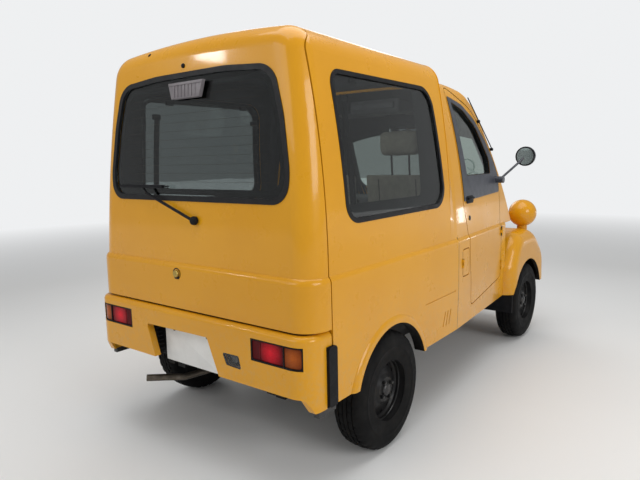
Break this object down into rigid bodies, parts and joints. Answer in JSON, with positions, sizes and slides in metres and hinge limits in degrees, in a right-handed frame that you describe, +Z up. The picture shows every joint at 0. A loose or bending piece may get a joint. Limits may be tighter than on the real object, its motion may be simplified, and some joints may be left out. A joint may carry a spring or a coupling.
{
  "type": "kei delivery truck",
  "caption": "Tiny enclosed delivery truck with a lifting tailgate, hinged cab doors, ball headlamps and a spare wheel hung on the nose.",
  "frame": {"origin": "on the floor under the middle of the vehicle's length and width", "axes": "+X forward, +Y to the vehicle's left, +Z up"},
  "size_m": [2.79, 1.53, 1.7186],
  "materials": {
    "body_paint": "glossy warm yellow paint",
    "black_paint": "semi-gloss black",
    "rubber": "matt",
    "tyre": "matt",
    "dark_glass": "tinted",
    "clear_glass": "faintly green",
    "lamp_glass": "clear",
    "red_lens": "glossy",
    "amber_lens": "glossy",
    "black_plastic": "grained",
    "grey_plastic": "grained",
    "plate": "plain",
    "steel": "bare pipe",
    "iron": "cast",
    "fabric": "woven"
  },
  "bodies": {
    "body": {"cargo_roof": "body_paint", "cargo_side_left": "body_paint", "cargo_side_right": "body_paint", "cab_body": "body_paint", "front_fenders": "body_paint", "front_bumper": "body_paint", "rear_bumper": "body_paint", "headlamp_pods": "body_paint", "clear_lenses": "lamp_glass", "red_lamps": "red_lens", "amber_lamps": "amber_lens", "rear_trim": "black_plastic", "number_plates": "plate", "cargo_glass": "dark_glass", "window_seals": "rubber", "windscreen": "clear_glass", "floor_pan": "black_paint", "chassis_rails": "black_paint", "cross_members": "black_paint", "front_arms": "black_paint", "rear_axle": "black_paint", "dashboard": "grey_plastic", "seats": "fabric", "engine": "iron", "fuel_tank": "black_paint", "exhaust": "steel", "antenna": "black_plastic", "spare_tyre": "tyre", "spare_rim": "black_paint", "spare_mount": "black_paint"},
    "door_left": {"door_left_panel": "body_paint", "door_left_glass": "clear_glass", "door_left_trim": "black_plastic"},
    "door_right": {"door_right_panel": "body_paint", "door_right_glass": "clear_glass", "door_right_trim": "black_plastic"},
    "hatch": {"hatch_panel": "body_paint", "hatch_glass": "dark_glass", "hatch_seal": "rubber", "hatch_wiper": "black_plastic"},
    "fuel_lid": {"fuel_lid": "body_paint"},
    "knuckle_left": {"knuckle_left": "iron"},
    "knuckle_right": {"knuckle_right": "iron"},
    "steering_wheel": {"steering_wheel": "black_plastic"},
    "wheel_front_left": {"tyre_front_left": "tyre", "rim_front_left": "black_paint"},
    "wheel_front_right": {"tyre_front_right": "tyre", "rim_front_right": "black_paint"},
    "wheel_rear_left": {"tyre_rear_left": "tyre", "rim_rear_left": "black_paint"},
    "wheel_rear_right": {"tyre_rear_right": "tyre", "rim_rear_right": "black_paint"}
  },
  "joints": [
    {"name": "steer_left", "type": "hinge", "parent": "body", "child": "knuckle_left", "pos_m": [1, 0.537, 0.165], "axis": [0, -0.2154, 0.9765], "range_deg": [-33, 33]},
    {"name": "steer_right", "type": "hinge", "parent": "body", "child": "knuckle_right", "pos_m": [1, -0.537, 0.165], "axis": [0, 0.2154, 0.9765], "range_deg": [-33, 33]},
    {"name": "steering_wheel_turn", "type": "hinge", "parent": "body", "child": "steering_wheel", "pos_m": [0.41, -0.25, 0.985], "axis": [-0.7198, 0, 0.6941], "range_deg": [-500, 500]},
    {"name": "door_left_hinge", "type": "hinge", "parent": "body", "child": "door_left", "pos_m": [0.604, 0.595, 0.8], "axis": [0, 0, -1], "range_deg": [0, 65]},
    {"name": "door_right_hinge", "type": "hinge", "parent": "body", "child": "door_right", "pos_m": [0.604, -0.595, 0.8], "axis": [0, 0, 1], "range_deg": [0, 65]},
    {"name": "hatch_hinge", "type": "hinge", "parent": "body", "child": "hatch", "pos_m": [-1.208, 0, 1.7115], "axis": [0, 1, 0], "range_deg": [0, 80]},
    {"name": "fuel_lid_hinge", "type": "hinge", "parent": "body", "child": "fuel_lid", "pos_m": [-0.0948, -0.64, 0.681], "axis": [0, 0, -1], "range_deg": [0, 95]},
    {"name": "wheel_front_left_spin", "type": "hinge", "parent": "knuckle_left", "child": "wheel_front_left", "pos_m": [1, 0.57, 0.254], "axis": [0, 1, 0], "continuous": true},
    {"name": "wheel_front_right_spin", "type": "hinge", "parent": "knuckle_right", "child": "wheel_front_right", "pos_m": [1, -0.57, 0.254], "axis": [0, 1, 0], "continuous": true},
    {"name": "wheel_rear_left_spin", "type": "hinge", "parent": "body", "child": "wheel_rear_left", "pos_m": [-0.84, 0.57, 0.254], "axis": [0, 1, 0], "continuous": true},
    {"name": "wheel_rear_right_spin", "type": "hinge", "parent": "body", "child": "wheel_rear_right", "pos_m": [-0.84, -0.57, 0.254], "axis": [0, 1, 0], "continuous": true}
  ],
  "couplings": [
    {"joint": "steer_right", "follows": "steer_left", "ratio": 1},
    {"joint": "steering_wheel_turn", "follows": "steer_left", "ratio": 15}
  ]
}
